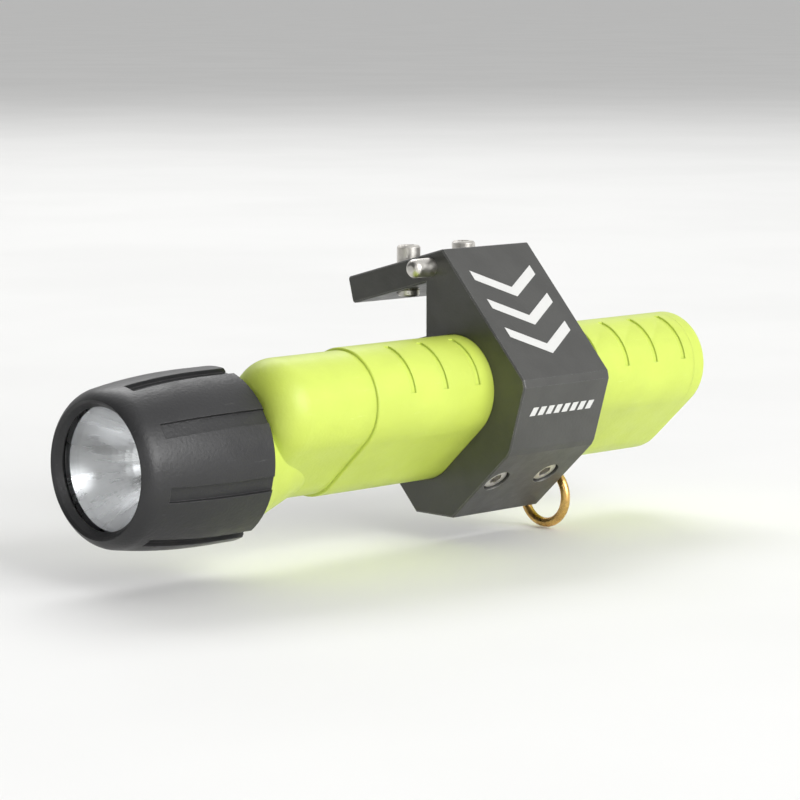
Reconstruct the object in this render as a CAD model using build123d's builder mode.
from build123d import *
import os
from math import cos, sin, radians

# Firefighter's helmet torch with its brim bracket, in millimetres.
# X runs along the torch, lamp end at -X. -Y faces away from the helmet, +Z is up.
# The origin is the middle of the bracket's brim seat.

os.makedirs("parts", exist_ok=True)

# ---- driving dimensions: bracket ------------------------------------------
block_width = 31.3          # along X
seat_slope = 15.0           # the brim seat falls towards the helmet
throat_height = 13.0        # seat to jaw underside
throat_back_y = -9.0
jaw_thickness = 7.0
jaw_tip = 14.5              # along the seat, from the origin
crest_along = -20.8
lip_tip = 9.3
lip_thickness = 4.0
block_bottom_z = -42.7
upper_corner_m = 35.4       # outer corners: upper to middle face, middle to lower face
upper_corner_n = 14.1
lower_corner_m = 19.3
lower_face_n = 23.7
back_face_m = -17.0
back_face_n = -16.0
bore_gap = 0.1
edge_break = 0.4
running_gap = 0.05
brim_screw_spacing = 20.0
clamp_screw_spacing = 18.0
clamp_middle_x = -2.0

# ---- driving dimensions: torch --------------------------------------------
# stations count along the torch from front_x, which is 2 mm behind the bezel's rim
torch_axis_y = -8.0
torch_axis_z = -20.3
torch_tilt = 42.7           # the wide way of the barrel, above horizontal
front_x = -119.65
rim_x = -2.0
bezel_end_x = 35.4
bezel_r = 21.0
bezel_bore_r = 17.0
neck_start_x = 22.0
neck_end_x = 36.0
neck_r = 17.75
neck_bore_r = 15.2
neck_bore_end_x = 39.0
thread_gap = 0.1
column_low = -1.0           # the two cell columns, along the wide way
column_high = 16.0
barrel_r = 13.1
waist_r = 12.4
barrel_wall = 2.8
flare_r = 18.9              # the round flare behind the bezel
flare_end_x = 58.0
flare_end_r = 11.2          # inside the waist, so that the flare runs out on its surface
shoulder_round = 7.5
step_x = 64.5
step_round = 0.4
cells_x = 60.0
cap_x = 180.5
tail_x = 186.0
cell_d = 14.5
cell_length = 50.5
groove_pitch = 11.1
groove_first_x = 76.4
groove_count = 10
flute_count = 8
flute_turn = 11.2           # first flute, from the barrel's wide way
flute_width = 3.7
flute_depth = 1.2
flute_start_x = 4.5

column_gap = column_high - column_low
column_mid = (column_high + column_low) / 2
barrel_bore_r = barrel_r - barrel_wall
half_block = block_width / 2
wide_y, wide_z = -cos(radians(torch_tilt)), sin(radians(torch_tilt))
torch_axis = Axis((front_x, torch_axis_y, torch_axis_z), (1, 0, 0))
# plane through the torch's axis: local x is the station, local y the radius
section_plane = Plane(origin=(front_x, torch_axis_y, torch_axis_z), x_dir=(1, 0, 0), z_dir=(0, -1, 0))


def torch_plane(station):
    """Plane across the torch: local x is the barrel's wide way, local y its narrow way."""
    origin = (front_x + station, torch_axis_y, torch_axis_z)
    return Plane(origin=origin, x_dir=(0, wide_y, wide_z), z_dir=(1, 0, 0))


def torch_point(m, n):
    """Y and Z of the point m along the barrel's wide way and n along its narrow way."""
    return (torch_axis_y + m * wide_y - n * wide_z, torch_axis_z + m * wide_z + n * wide_y)


def seat_point(along, height):
    """Y and Z of the point this far along and above the brim seat."""
    c, s = cos(radians(seat_slope)), sin(radians(seat_slope))
    return (along * c + height * s, height * c - along * s)


def throat_corner(height):
    """Y and Z where the throat's upright back wall meets this height above the seat."""
    c, s = cos(radians(seat_slope)), sin(radians(seat_slope))
    return (throat_back_y, (height - throat_back_y * s) / c)


def bottom_m(n):
    """How far along the wide way the block's flat bottom cuts the line at n."""
    return (block_bottom_z - torch_axis_z - n * wide_y) / wide_z


def bottom_n(m):
    """How far along the narrow way the block's flat bottom cuts the line at m."""
    return (block_bottom_z - torch_axis_z - m * wide_z) / wide_y


def save(piece, name):
    piece.part.label = name
    export_step(piece.part, f"parts/{name}.step")


def oval(radius, mode=Mode.ADD):
    """The barrel's oval: both round columns at this radius and what lies between."""
    with Locations((column_mid, 0)):
        SlotCenterToCenter(column_gap, 2 * radius, mode=mode)


def revolved(outline, m=0.0):
    """A round piece about an axis along the torch, from its (station, radius) corners."""
    y, z = torch_point(m, 0)
    with BuildPart() as piece:
        with BuildSketch(Plane(origin=(front_x, y, z), x_dir=(1, 0, 0), z_dir=(0, -1, 0))):
            with BuildLine():
                Polyline(*outline, close=True)
            make_face()
        revolve(axis=Axis((front_x, y, z), (1, 0, 0)))
    return piece


# ---- holder block ----------------------------------------------------------
block_outline = [
    seat_point(crest_along, throat_height + jaw_thickness),
    torch_point(upper_corner_m, upper_corner_n),
    torch_point(lower_corner_m, lower_face_n),
    torch_point(bottom_m(lower_face_n), lower_face_n),
    torch_point(back_face_m, bottom_n(back_face_m)),
    torch_point(back_face_m, -9.0),
    torch_point(-10.0, back_face_n),
    torch_point(1.2, back_face_n),
    seat_point(lip_tip, -lip_thickness),
    seat_point(lip_tip, 0),
    throat_corner(0),
    throat_corner(throat_height),
    seat_point(jaw_tip, throat_height),
    seat_point(jaw_tip, throat_height + jaw_thickness),
]
tip_round = 0.8
crest_round = 0.6
lower_bevel = 0.9
upper_bevel = 1.15
brim_screw_y = 2.6
brim_screw_r = 3.0
clamp_screw_r = 2.0
clamp_head_r = 3.5
clamp_head_height = 3.4
clamp_head_seat_n = 19.7
clamp_counterbore_n = 19.1
shoe_length = 24.0
shoe_width = 8.0
shoe_thickness = 2.4
shoe_travel = 0.7
shoe_face_n = barrel_r + running_gap
pocket_gap = 0.4
end_stud_y, end_stud_z = -10.7, 19.9
stud_hole_depth = 9.0
end_stud_r = 2.0
eye_m, eye_n = -2.0, 16.4
eye_hole_depth = 7.0
eye_stud_r = 1.5

# each clamp screw runs along the barrel's narrow way, from the lower face to the oval bore
screw_way = (0, -wide_z, wide_y)


def screw_plane(x, n):
    """Plane square to a clamp screw, at n, facing out of the block's lower face."""
    y, z = torch_point(column_mid, n)
    return Plane(origin=(x, y, z), x_dir=(1, 0, 0), z_dir=screw_way)


brim_places = (-brim_screw_spacing / 2, brim_screw_spacing / 2)
clamp_places = (clamp_middle_x - clamp_screw_spacing / 2, clamp_middle_x + clamp_screw_spacing / 2)
sides = ("front", "rear")

with BuildPart() as holder_block:
    with BuildSketch(Plane.YZ.offset(-half_block)):
        with BuildLine():
            Polyline(*block_outline, close=True)
        make_face()
    extrude(amount=block_width)
    fillet(holder_block.edges().filter_by(Axis.X).sort_by(Axis.Y)[-4:], radius=tip_round)
    fillet(holder_block.edges().filter_by(Axis.X).sort_by(Axis.Z)[-1], radius=crest_round)
    chamfer(holder_block.edges().filter_by(Axis.X).sort_by(Axis.Y)[1], length=lower_bevel)
    chamfer(holder_block.edges().filter_by(Axis.X).sort_by(Axis.Y)[0], length=upper_bevel)
    end_faces = holder_block.faces().sort_by(Axis.X)
    chamfer(end_faces[0].edges() + end_faces[-1].edges(), length=edge_break)
    with BuildSketch(torch_plane(-front_x - half_block)):
        oval(barrel_r + bore_gap)
    extrude(amount=block_width, mode=Mode.SUBTRACT)
    # pocket for the pressure shoe, then its two counterbored screw holes
    with BuildSketch(screw_plane(clamp_middle_x, barrel_r - 1)):
        SlotOverall(shoe_length + pocket_gap, shoe_width + pocket_gap)
    extrude(amount=1 + shoe_thickness + shoe_travel + pocket_gap, mode=Mode.SUBTRACT)
    for place in clamp_places:
        with BuildSketch(screw_plane(place, barrel_r)):
            Circle(clamp_screw_r + running_gap)
        extrude(amount=lower_face_n, mode=Mode.SUBTRACT)
        with BuildSketch(screw_plane(place, clamp_counterbore_n)):
            Circle(clamp_head_r + 0.2)
        extrude(amount=lower_face_n, mode=Mode.SUBTRACT)
    # upright threaded holes through the jaw
    for place in brim_places:
        with BuildSketch(Plane.XY.offset(8)):
            with Locations((place, brim_screw_y)):
                Circle(brim_screw_r + running_gap)
        extrude(amount=20, mode=Mode.SUBTRACT)
    with BuildSketch(Plane.YZ.offset(-half_block)):
        with Locations((end_stud_y, end_stud_z)):
            Circle(end_stud_r)
    extrude(amount=stud_hole_depth, mode=Mode.SUBTRACT)
    with BuildSketch(Plane.YZ.offset(half_block)):
        with Locations(torch_point(eye_m, eye_n)):
            Circle(eye_stud_r)
    extrude(amount=-eye_hole_depth, mode=Mode.SUBTRACT)
save(holder_block, "holder_block")

# ---- round-nosed stud in the front end face ----------------------------------
stud_head_r = 2.4
stud_head_length = 7.0
with BuildPart() as end_stud:
    with BuildSketch(Plane.YZ.offset(-half_block)):
        with Locations((end_stud_y, end_stud_z)):
            Circle(end_stud_r)
    extrude(amount=stud_hole_depth - 0.5)
    with BuildSketch(Plane.YZ.offset(-half_block)):
        with Locations((end_stud_y, end_stud_z)):
            Circle(stud_head_r)
    extrude(amount=-stud_head_length)
    fillet(end_stud.faces().sort_by(Axis.X)[0].edges(), radius=1.7)
save(end_stud, "end_stud")

# ---- eye stud and brass ring on the rear end face --------------------------
eye_y, eye_z = torch_point(eye_m, eye_n)
eye_x = half_block + 4.0
eye_r = 2.5
eye_wire_r = 0.95
ring_r = 7.2
ring_wire_r = 1.2
with BuildPart() as eye_stud:
    with BuildSketch(Plane.YZ.offset(half_block)):
        with Locations((eye_y, eye_z)):
            Circle(eye_stud_r)
    extrude(amount=0.5 - eye_hole_depth)
    with BuildSketch(Plane.YZ.offset(half_block)):
        with Locations((eye_y, eye_z)):
            Circle(eye_stud_r)
    extrude(amount=1.2)
    with BuildSketch(Plane.XY.offset(eye_z)):
        with Locations((eye_x + eye_r, eye_y)):
            Circle(eye_wire_r)
    revolve(axis=Axis((eye_x, eye_y, eye_z), (0, 1, 0)))
save(eye_stud, "eye_stud")

ring_axis = Axis((eye_x, eye_y, eye_z - ring_r), (1, 0, 0))
with BuildPart() as lanyard_ring:
    with BuildSketch(Plane(origin=(eye_x, eye_y, eye_z - ring_r), x_dir=(0, 1, 0), z_dir=(0, 0, 1))):
        with Locations((ring_r, 0)):
            Circle(ring_wire_r)
    revolve(axis=ring_axis)
save(lanyard_ring, "lanyard_ring")

# ---- brim screws: a set screw with a swivel pad at its tip, front and rear --
brim_screw_tip_z = 13.0
brim_screw_length = 11.4
pad_r = 2.8
pad_thickness = 1.6
pad_pin_r = 1.2
pad_pin_length = 1.5
for place, side in zip(brim_places, sides):
    with BuildPart() as brim_pad:
        with BuildSketch(Plane.XY.offset(brim_screw_tip_z - pad_thickness)):
            with Locations((place, brim_screw_y)):
                Circle(pad_r)
        extrude(amount=pad_thickness)
        chamfer(brim_pad.faces().sort_by(Axis.Z)[0].edges(), length=0.4)
        with BuildSketch(Plane.XY.offset(brim_screw_tip_z)):
            with Locations((place, brim_screw_y)):
                Circle(pad_pin_r)
        extrude(amount=pad_pin_length)
    save(brim_pad, f"brim_pad_{side}")
    with BuildPart() as brim_screw:
        with BuildSketch(Plane.XY.offset(brim_screw_tip_z)):
            with Locations((place, brim_screw_y)):
                Circle(brim_screw_r)
        extrude(amount=brim_screw_length)
        chamfer(brim_screw.edges().filter_by(GeomType.CIRCLE), length=0.5)
        with BuildSketch(Plane.XY.offset(brim_screw_tip_z)):
            with Locations((place, brim_screw_y)):
                Circle(pad_pin_r + running_gap)
        extrude(amount=pad_pin_length + 0.1, mode=Mode.SUBTRACT)
        with BuildSketch(Plane.XY.offset(brim_screw_tip_z + brim_screw_length)):
            with Locations((place, brim_screw_y)):
                RegularPolygon(1.7, 6)
        extrude(amount=-3.5, mode=Mode.SUBTRACT)
    save(brim_screw, f"brim_screw_{side}")

# ---- pressure shoe and its two clamp screws ---------------------------------
with BuildPart() as pressure_shoe:
    with BuildSketch(screw_plane(clamp_middle_x, shoe_face_n)):
        SlotOverall(shoe_length, shoe_width)
    extrude(amount=shoe_thickness)
save(pressure_shoe, "pressure_shoe")

shank_start_n = shoe_face_n + shoe_thickness + 0.02
for place, side in zip(clamp_places, sides):
    with BuildPart() as clamp_screw:
        with BuildSketch(screw_plane(place, shank_start_n)):
            Circle(clamp_screw_r)
        extrude(amount=clamp_head_seat_n - shank_start_n)
        with BuildSketch(screw_plane(place, clamp_head_seat_n)):
            Circle(clamp_head_r)
        extrude(amount=clamp_head_height)
        crown = clamp_screw.edges().filter_by(GeomType.CIRCLE).group_by(SortBy.RADIUS)[-1]
        chamfer(crown, length=0.35)
        with BuildSketch(screw_plane(place, clamp_head_seat_n + clamp_head_height)):
            RegularPolygon(1.8, 6)
        extrude(amount=-2.4, mode=Mode.SUBTRACT)
    save(clamp_screw, f"clamp_screw_{side}")

# ---- barrel ------------------------------------------------------------------
o_ring_x = 33.2
o_ring_wire_r = 0.78
o_ring_groove_width = 2.0
o_ring_groove_depth = 1.6
oval_bore_x = 56.0
groove_depth = 0.5
with BuildPart() as barrel:
    # the oval grip with its front edge eased, then the slimmer waist with its blunt shoulder
    with BuildSketch(torch_plane(step_x)):
        oval(barrel_r)
    extrude(amount=cap_x - step_x)
    fillet(barrel.faces().sort_by(Axis.X)[0].edges(), radius=step_round)
    with BuildSketch(torch_plane(neck_end_x)):
        oval(waist_r)
    extrude(amount=step_x - neck_end_x)
    fillet(barrel.faces().sort_by(Axis.X)[0].edges(), radius=shoulder_round)
    # round flare and neck
    with BuildSketch(section_plane):
        with BuildLine():
            ThreePointArc((neck_end_x, flare_r), (46.5, 15.2), (flare_end_x, flare_end_r))
            Polyline((flare_end_x, flare_end_r), (flare_end_x, 0), (neck_end_x, 0), (neck_end_x, flare_r))
        make_face()
    revolve(axis=torch_axis)
    with BuildSketch(torch_plane(neck_start_x)):
        Circle(neck_r)
    extrude(amount=neck_end_x - neck_start_x)
    # bores: round in the neck, one column behind it, then the whole oval
    with BuildSketch(torch_plane(neck_start_x)):
        Circle(neck_bore_r)
    extrude(amount=neck_bore_end_x - neck_start_x, mode=Mode.SUBTRACT)
    with BuildSketch(torch_plane(neck_bore_end_x)):
        with Locations((column_low, 0)):
            Circle(barrel_bore_r)
    extrude(amount=oval_bore_x + 2 - neck_bore_end_x, mode=Mode.SUBTRACT)
    with BuildSketch(torch_plane(oval_bore_x)):
        oval(barrel_bore_r)
    extrude(amount=cap_x - oval_bore_x, mode=Mode.SUBTRACT)
    # O-ring groove in the neck
    with BuildSketch(torch_plane(o_ring_x)):
        Circle(neck_r + 1)
        Circle(neck_r - o_ring_groove_depth, mode=Mode.SUBTRACT)
    extrude(amount=o_ring_groove_width / 2, both=True, mode=Mode.SUBTRACT)
    # short grip grooves across the outer edge
    for index in range(groove_count):
        with BuildSketch(torch_plane(groove_first_x + index * groove_pitch)):
            with Locations((column_high, 0)):
                Circle(barrel_r + 1)
                Circle(barrel_r - groove_depth, mode=Mode.SUBTRACT)
            with BuildLine():
                Polyline((column_high, 0), (column_high + 20, -13), (column_high + 20, 13), close=True)
            make_face(mode=Mode.INTERSECT)
        extrude(amount=0.9, both=True, mode=Mode.SUBTRACT)
save(barrel, "barrel")

# ---- neck O-ring, tail cap and its gasket -------------------------------------
with BuildPart() as neck_o_ring:
    with BuildSketch(section_plane):
        with Locations((o_ring_x, neck_r - 0.75)):
            Circle(o_ring_wire_r)
    revolve(axis=torch_axis)
save(neck_o_ring, "neck_o_ring")

plug_length = 8.0
gasket_x = cap_x - 3.8
with BuildPart() as tail_cap:
    with BuildSketch(torch_plane(cap_x)):
        oval(barrel_r)
    extrude(amount=tail_x - cap_x)
    fillet(tail_cap.faces().sort_by(Axis.X)[-1].edges(), radius=2.5)
    with BuildSketch(torch_plane(cap_x)):
        oval(barrel_bore_r - 0.15)
    extrude(amount=-plug_length)
    with BuildSketch(torch_plane(cap_x - plug_length)):
        oval(barrel_bore_r - 2.2)
    extrude(amount=plug_length - 1, mode=Mode.SUBTRACT)
    with BuildSketch(torch_plane(gasket_x - 0.2)):
        oval(barrel_bore_r + 1)
        oval(barrel_bore_r - 1.3, mode=Mode.SUBTRACT)
    extrude(amount=2, mode=Mode.SUBTRACT)
save(tail_cap, "tail_cap")

with BuildPart() as tail_gasket:
    with BuildSketch(torch_plane(gasket_x)):
        oval(barrel_bore_r - 0.05)
        oval(barrel_bore_r - 1.2, mode=Mode.SUBTRACT)
    extrude(amount=1.6)
save(tail_gasket, "tail_gasket")

# ---- bezel, seal and lens ---------------------------------------------------------
bezel_crown = (27.0, bezel_r)
bezel_shoulder = (2.0, 18.9)
bezel_side_r = 150.0        # radius of the long arc from the shoulder to the crown
rim_corner = (rim_x, 16.3)
bezel_rest = [
    rim_corner, (rim_x + 0.6, 15.6), (0.2, 14.5), (0.2, bezel_bore_r), (20.0, bezel_bore_r),
    (20.0, neck_r + thread_gap), (bezel_end_x, neck_r + thread_gap), (bezel_end_x, bezel_r - 0.8),
    (bezel_end_x - 0.8, bezel_r), bezel_crown,
]
flute_floor_r = bezel_r - flute_depth
flute_front_r = flute_floor_r - (bezel_crown[0] - flute_start_x) ** 2 / (2 * bezel_side_r)
flute_front = (flute_start_x, flute_front_r)
with BuildPart() as bezel:
    with BuildSketch(section_plane):
        with BuildLine():
            outside = TangentArc(bezel_crown, bezel_shoulder, tangent=(-1, 0))
            TangentArc(bezel_shoulder, rim_corner, tangent=outside % 1)
            Polyline(*bezel_rest)
        make_face()
    revolve(axis=torch_axis)
    # flutes of even depth, open at the bezel's rear edge
    for index in range(flute_count):
        turn = radians(flute_turn + 360 / flute_count * index)
        out_y = wide_y * cos(turn) - wide_z * sin(turn)
        out_z = wide_z * cos(turn) + wide_y * sin(turn)
        with BuildSketch(Plane(origin=section_plane.origin, x_dir=(1, 0, 0), z_dir=(0, -out_z, out_y))):
            with BuildLine():
                TangentArc((bezel_crown[0], flute_floor_r), flute_front, tangent=(-1, 0))
                Polyline(flute_front, (flute_start_x, bezel_r + 1), (bezel_end_x + 1, bezel_r + 1),
                         (bezel_end_x + 1, flute_floor_r), (bezel_crown[0], flute_floor_r))
            make_face()
        extrude(amount=flute_width / 2, both=True, mode=Mode.SUBTRACT)
save(bezel, "bezel")

glass_r = 16.9
lens_seal = revolved([(0.25, 15.3), (1.05, 15.3), (1.05, glass_r), (0.25, glass_r)])
save(lens_seal, "lens_seal")
lens = revolved([(1.1, 0), (3.5, 0), (3.5, glass_r), (1.1, glass_r)])
save(lens, "lens")

# ---- lamp module ------------------------------------------------------------------
bowl_x = 3.7
bowl_depth = 15.0
bowl_mouth_r = 14.8
bowl_throat_r = 3.4
bowl_wall = 0.8
bowl_steps = 12


def bowl_radius(station):
    """Radius of the reflector's bright face at a station behind the lens."""
    share = (bowl_x + bowl_depth - station) / bowl_depth
    return bowl_throat_r + (bowl_mouth_r - bowl_throat_r) * share ** 0.6


bowl_stations = [bowl_x + bowl_depth * step / bowl_steps for step in range(bowl_steps + 1)]
bowl_face = [(station, bowl_radius(station)) for station in bowl_stations]
bowl_back = [(station + 0.5, radius + bowl_wall) for station, radius in reversed(bowl_face[2:])]
reflector = revolved(bowl_face + bowl_back + [(bowl_x + 1.3, 16.5), (bowl_x, 16.5)])
save(reflector, "reflector")

led_emitter = revolved([(17.6, 0), (17.8, 1.0), (18.4, 1.7), (18.4, 2.6), (19.2, 2.6), (19.2, 0)])
save(led_emitter, "led_emitter")
led_board = revolved([(19.2, 0), (20.4, 0), (20.4, 8.0), (19.2, 8.0)])
save(led_board, "led_board")

sink_r = 12.5
fin_r = 14.9
fin_outline = [(20.4, 0), (20.4, sink_r)]
for index in range(4):
    fin_start = 20.9 + index * 2.2
    fin_end = fin_start + 1.1
    fin_outline += [(fin_start, sink_r), (fin_start, fin_r), (fin_end, fin_r), (fin_end, sink_r)]
heat_sink = revolved(fin_outline + [(29.4, sink_r), (29.4, 0)])
save(heat_sink, "heat_sink")

driver_board = revolved([(31.2, 0), (32.6, 0), (32.6, 13.0), (31.2, 13.0)])
save(driver_board, "driver_board")
module_housing = revolved([(29.5, fin_r), (29.5, 13.0), (31.1, 13.0), (31.1, 13.1), (36.0, 13.1), (36.0, 4.0),
                           (37.6, 4.0), (37.6, fin_r)])
save(module_housing, "module_housing")
contact_pin = revolved([(32.7, 0), (32.7, 3.4), (35.6, 3.4), (35.6, 2.6), (42.6, 2.6), (43.4, 1.8), (43.4, 0)])
save(contact_pin, "contact_pin")

# ---- battery cartridge and cells ------------------------------------------------------
columns = (column_low, column_high)
spring_space = 6.0
cartridge_x = 45.0
cartridge_oval_x = 56.4
cells_end_x = cells_x + 2 * cell_length + 0.4
cartridge_end_x = cells_end_x + spring_space + 2.0
cell_window = 3.0           # the cartridge's ring that stays round each end of the cells
with BuildPart() as cartridge:
    with BuildSketch(torch_plane(cartridge_x)):
        with Locations((column_low, 0)):
            Circle(barrel_bore_r - 0.4)
    extrude(amount=cartridge_oval_x - cartridge_x + 0.1)
    with BuildSketch(torch_plane(cartridge_oval_x)):
        oval(barrel_bore_r - 0.3)
    extrude(amount=cartridge_end_x - cartridge_oval_x)
    with BuildSketch(torch_plane(cells_x - 0.8)):
        with Locations(*[(m, 0) for m in columns]):
            Circle(cell_d / 2 + 0.15)
    extrude(amount=cells_end_x + spring_space - cells_x + 0.8, mode=Mode.SUBTRACT)
    # open side that the cells are put in through
    with BuildSketch(torch_plane(cells_x + cell_window)):
        with Locations((column_mid, -cell_d / 2 - 1)):
            Rectangle(column_gap + cell_d - 2, cell_d / 2 + 5)
    extrude(amount=cells_end_x - cells_x - 2 * cell_window, mode=Mode.SUBTRACT)
save(cartridge, "battery_cartridge")

cell_r = cell_d / 2
for number in range(4):
    start = cells_x + (number // 2) * (cell_length + 0.2)
    end = start + cell_length
    cell = revolved([(start, 0), (start, 2.6), (start + 1.2, 2.6), (start + 1.2, 6.8), (start + 1.6, cell_r),
                     (end - 0.4, cell_r), (end, 6.8), (end, 0)], columns[number % 2])
    save(cell, f"cell_{number + 1}")

nose_contact = revolved([(43.45, 0), (44.95, 0), (44.95, 3.2), (43.45, 3.2)])
save(nose_contact, "nose_contact")
ground_ring = revolved([(44.2, 6.0), (44.95, 6.0), (44.95, 8.6), (44.2, 8.6)], column_low)
save(ground_ring, "ground_ring")

with BuildPart() as front_contacts:
    with BuildSketch(torch_plane(cells_x - 0.75)):
        with Locations(*[(m, 0) for m in columns]):
            Circle(4.5)
    extrude(amount=0.7)
save(front_contacts, "front_contacts")

spring_coils = 4
spring_wire_r = 0.35
spring_start_x = cells_end_x + 0.1
spring_length = spring_space - 0.9
coil_pitch = (spring_length - 2 * spring_wire_r) / spring_coils
with BuildPart() as cell_springs:
    for m in columns:
        y, z = torch_point(m, 0)
        for coil in range(spring_coils + 1):
            coil_x = front_x + spring_start_x + spring_wire_r + coil_pitch * coil
            with BuildSketch(Plane(origin=(coil_x, y, z), x_dir=(0, 1, 0), z_dir=(0, 0, 1))):
                with Locations((2.6 + 0.7 * coil, 0)):
                    Circle(spring_wire_r)
            revolve(axis=Axis((coil_x, y, z), (1, 0, 0)))
save(cell_springs, "cell_springs")

with BuildPart() as crossover_plate:
    with BuildSketch(torch_plane(cells_end_x + spring_space - 0.7)):
        with Locations(*[(m, 0) for m in columns]):
            Circle(cell_r)
    extrude(amount=0.6)
save(crossover_plate, "crossover_plate")
